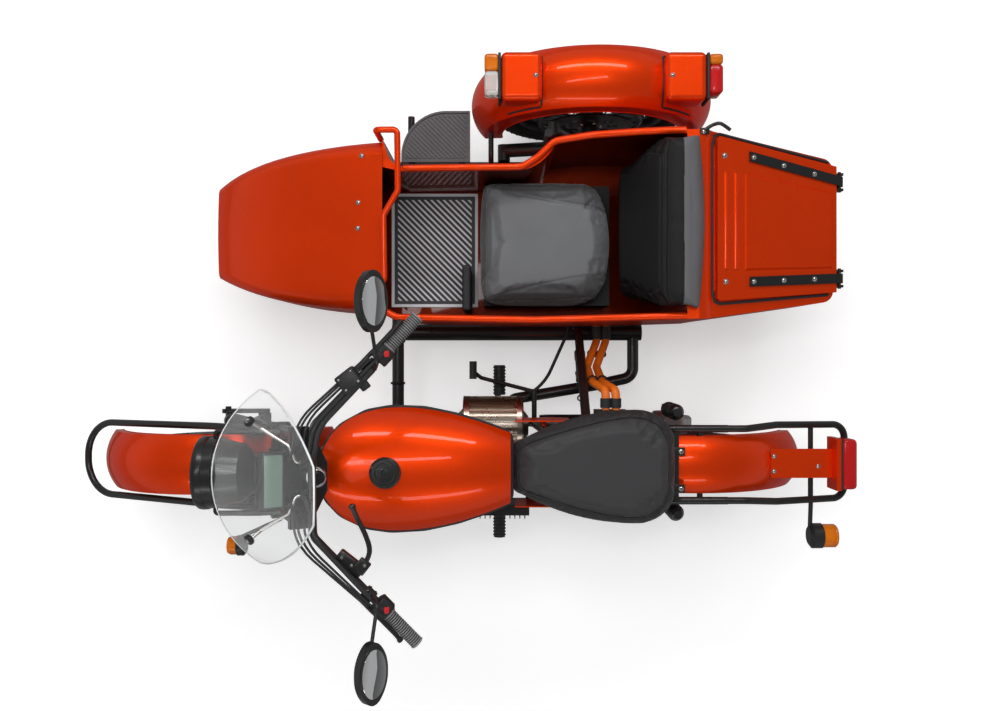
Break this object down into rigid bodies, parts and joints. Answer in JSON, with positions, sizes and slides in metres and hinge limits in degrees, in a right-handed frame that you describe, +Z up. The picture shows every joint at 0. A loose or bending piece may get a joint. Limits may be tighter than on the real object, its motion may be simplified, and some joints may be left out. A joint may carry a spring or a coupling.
{
  "type": "sidecar motorcycle",
  "caption": "Electric motorcycle with a sidecar: raked fork with a clear screen, tank and single saddle, open cockpit with seat, luggage trunk under a lid, and laced wheels.",
  "frame": {"origin": "on the ground, under the middle of the overall box", "axes": "+Z up, -X the way it drives, +Y towards the sidecar"},
  "size_m": [2.514, 1.864, 1.3505],
  "materials": {
    "orange_paint": "metallic gloss",
    "black_metal": "satin",
    "rubber": "matte",
    "tyre": "matte",
    "aluminium": "satin",
    "zinc_steel": "zinc plated",
    "vinyl": "grained vinyl",
    "bronze_case": "anodised",
    "clear_screen": "clear",
    "amber_lens": "moulded lens",
    "red_lens": "moulded lens",
    "black_plastic": "moulded",
    "orange_cable": "sleeved"
  },
  "bodies": {
    "chassis": {"main_frame": "black_metal", "swing_arm": "black_metal", "final_drive": "aluminium", "rear_shocks": "black_metal", "battery_block": "black_plastic", "drive_motor": "bronze_case", "inverter": "black_metal", "tank": "orange_paint", "tank_cap": "black_metal", "saddle": "vinyl", "saddle_carrier": "black_metal", "side_covers": "orange_paint", "rear_fender": "orange_paint", "rear_guard": "black_metal", "tail_lamp_bracket": "orange_paint", "tail_lamp": "red_lens", "rear_indicator": "amber_lens", "foot_controls": "black_metal", "sidecar_frame": "black_metal", "sidecar_struts": "black_metal", "sidecar_swing_arm": "black_metal", "sidecar_tub": "orange_paint", "cockpit_rail": "orange_paint", "cockpit_rim": "orange_paint", "floor_mat": "rubber", "knee_pad": "rubber", "seat_base": "black_metal", "seat_cushion": "vinyl", "seat_back": "vinyl", "step_board": "rubber", "sidecar_fender": "orange_paint", "lamp_housings": "orange_paint", "marker_lamps": "amber_lens", "lid_hinges": "black_metal", "junction_box": "black_plastic", "power_cables": "orange_cable"},
    "steering": {"fork": "black_metal", "front_links": "black_metal", "front_fender": "orange_paint", "front_guard": "black_metal", "handlebar": "black_metal", "hand_controls": "black_plastic", "mirrors": "black_metal", "headlamp": "black_metal", "instrument_panel": "black_plastic", "windscreen": "clear_screen", "windscreen_stays": "zinc_steel", "front_indicator": "amber_lens"},
    "wheel_front": {"front_tyre": "tyre", "front_wheel": "aluminium"},
    "wheel_rear": {"rear_tyre": "tyre", "rear_wheel": "aluminium"},
    "wheel_sidecar": {"sidecar_tyre": "tyre", "sidecar_wheel": "aluminium"},
    "lid": {"trunk_lid": "orange_paint", "lid_straps": "black_metal"}
  },
  "joints": [
    {"name": "steering", "type": "hinge", "parent": "chassis", "child": "steering", "pos_m": [-0.369, -0.371, 1], "axis": [0.4695, 0, 0.8829], "range_deg": [-32, 32]},
    {"name": "front_wheel_spin", "type": "hinge", "parent": "steering", "child": "wheel_front", "pos_m": [-0.814, -0.371, 0.3415], "axis": [0, 1, 0], "continuous": true},
    {"name": "rear_wheel_spin", "type": "hinge", "parent": "chassis", "child": "wheel_rear", "pos_m": [0.716, -0.371, 0.3415], "axis": [0, 1, 0], "continuous": true},
    {"name": "sidecar_wheel_spin", "type": "hinge", "parent": "chassis", "child": "wheel_sidecar", "pos_m": [0.45, 0.836, 0.3415], "axis": [0, 1, 0], "continuous": true},
    {"name": "trunk_lid_hinge", "type": "hinge", "parent": "chassis", "child": "lid", "pos_m": [1.204, 0, 0.662], "axis": [0, 1, 0], "range_deg": [0, 95]}
  ]
}
